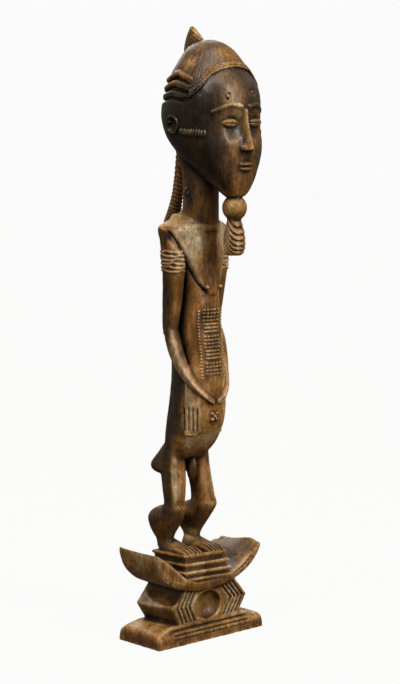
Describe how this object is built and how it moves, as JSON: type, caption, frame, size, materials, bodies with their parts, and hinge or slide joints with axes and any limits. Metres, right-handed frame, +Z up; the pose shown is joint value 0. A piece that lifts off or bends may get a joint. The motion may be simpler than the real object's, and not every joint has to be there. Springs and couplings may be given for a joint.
{
  "type": "ancestor figure",
  "caption": "Carved wooden ancestor figure standing on a crescent stool, hands on the belly, with a tall crested head, a long back plait and a plaited beard.",
  "frame": {"origin": "the middle of the base plate's underside, which rests on the ground", "axes": "+Z is up, from the plate to the crest; the figure faces -Y; its right side is at -X and its left side at +X"},
  "size_m": [0.1172, 0.1046, 0.5],
  "materials": {
    "wood": "dark brown patina, semi-gloss, worn to ochre on edges"
  },
  "bodies": {
    "root": {"ancestor_figure": "wood"}
  },
  "joints": []
}
